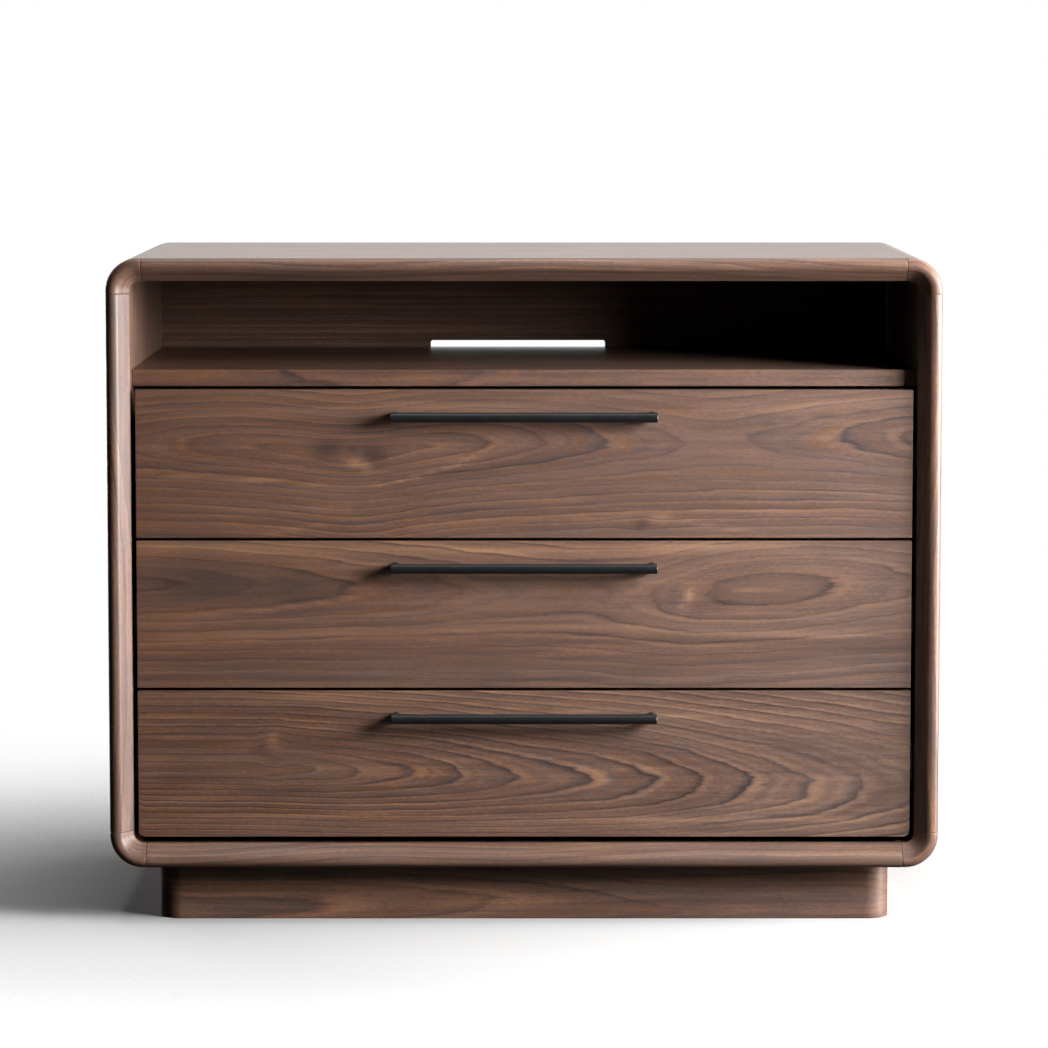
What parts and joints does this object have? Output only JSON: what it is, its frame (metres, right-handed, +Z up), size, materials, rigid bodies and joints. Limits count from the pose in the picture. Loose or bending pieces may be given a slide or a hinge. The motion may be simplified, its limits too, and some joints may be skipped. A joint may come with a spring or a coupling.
{
  "type": "commode chest",
  "caption": "Round-cornered walnut chest with an open niche above drawers on telescopic slides, black bar handles and a set-back plinth.",
  "frame": {"origin": "middle of the whole chest's footprint, handles included, at floor level", "axes": "+X to the right of someone facing the drawers, +Y from the drawer fronts to the back, +Z up; the front faces -Y"},
  "size_m": [1, 0.51, 0.805],
  "materials": {
    "walnut_veneer": "dark walnut veneer under satin lacquer",
    "beech_box": "clear matt lacquer on beech",
    "zinc_steel": "zinc-plated steel",
    "black_metal": "black satin powder coat"
  },
  "bodies": {
    "carcass": {"top_panel": "walnut_veneer", "bottom_panel": "walnut_veneer", "left_side_panel": "walnut_veneer", "right_side_panel": "walnut_veneer", "top_left_corner": "walnut_veneer", "top_right_corner": "walnut_veneer", "bottom_left_corner": "walnut_veneer", "bottom_right_corner": "walnut_veneer", "niche_shelf": "walnut_veneer", "back_panel": "walnut_veneer", "plinth_front": "walnut_veneer", "plinth_back": "walnut_veneer", "plinth_left": "walnut_veneer", "plinth_right": "walnut_veneer", "slide_1_left_cabinet_member": "zinc_steel", "slide_1_right_cabinet_member": "zinc_steel", "slide_2_left_cabinet_member": "zinc_steel", "slide_2_right_cabinet_member": "zinc_steel", "slide_3_left_cabinet_member": "zinc_steel", "slide_3_right_cabinet_member": "zinc_steel"},
    "drawer_1": {"drawer_1_front": "walnut_veneer", "drawer_1_box_left": "beech_box", "drawer_1_box_right": "beech_box", "drawer_1_box_front": "beech_box", "drawer_1_box_back": "beech_box", "drawer_1_box_bottom": "beech_box", "drawer_1_handle_bar": "black_metal", "drawer_1_handle_post_left": "black_metal", "drawer_1_handle_post_right": "black_metal", "slide_1_left_drawer_member": "zinc_steel", "slide_1_right_drawer_member": "zinc_steel"},
    "drawer_2": {"drawer_2_front": "walnut_veneer", "drawer_2_box_left": "beech_box", "drawer_2_box_right": "beech_box", "drawer_2_box_front": "beech_box", "drawer_2_box_back": "beech_box", "drawer_2_box_bottom": "beech_box", "drawer_2_handle_bar": "black_metal", "drawer_2_handle_post_left": "black_metal", "drawer_2_handle_post_right": "black_metal", "slide_2_left_drawer_member": "zinc_steel", "slide_2_right_drawer_member": "zinc_steel"},
    "drawer_3": {"drawer_3_front": "walnut_veneer", "drawer_3_box_left": "beech_box", "drawer_3_box_right": "beech_box", "drawer_3_box_front": "beech_box", "drawer_3_box_back": "beech_box", "drawer_3_box_bottom": "beech_box", "drawer_3_handle_bar": "black_metal", "drawer_3_handle_post_left": "black_metal", "drawer_3_handle_post_right": "black_metal", "slide_3_left_drawer_member": "zinc_steel", "slide_3_right_drawer_member": "zinc_steel"},
    "slide_1_middles": {"slide_1_left_middle_member": "zinc_steel", "slide_1_right_middle_member": "zinc_steel"},
    "slide_2_middles": {"slide_2_left_middle_member": "zinc_steel", "slide_2_right_middle_member": "zinc_steel"},
    "slide_3_middles": {"slide_3_left_middle_member": "zinc_steel", "slide_3_right_middle_member": "zinc_steel"}
  },
  "joints": [
    {"name": "drawer_1_travel", "type": "slide", "parent": "carcass", "child": "drawer_1", "axis": [0, -1, 0], "range_m": [0, 0.38]},
    {"name": "drawer_2_travel", "type": "slide", "parent": "carcass", "child": "drawer_2", "axis": [0, -1, 0], "range_m": [0, 0.38]},
    {"name": "drawer_3_travel", "type": "slide", "parent": "carcass", "child": "drawer_3", "axis": [0, -1, 0], "range_m": [0, 0.38]},
    {"name": "slide_1_travel", "type": "slide", "parent": "carcass", "child": "slide_1_middles", "axis": [0, -1, 0], "range_m": [0, 0.19]},
    {"name": "slide_2_travel", "type": "slide", "parent": "carcass", "child": "slide_2_middles", "axis": [0, -1, 0], "range_m": [0, 0.19]},
    {"name": "slide_3_travel", "type": "slide", "parent": "carcass", "child": "slide_3_middles", "axis": [0, -1, 0], "range_m": [0, 0.19]}
  ],
  "couplings": [
    {"joint": "slide_1_travel", "follows": "drawer_1_travel", "ratio": 0.5},
    {"joint": "slide_2_travel", "follows": "drawer_2_travel", "ratio": 0.5},
    {"joint": "slide_3_travel", "follows": "drawer_3_travel", "ratio": 0.5}
  ]
}
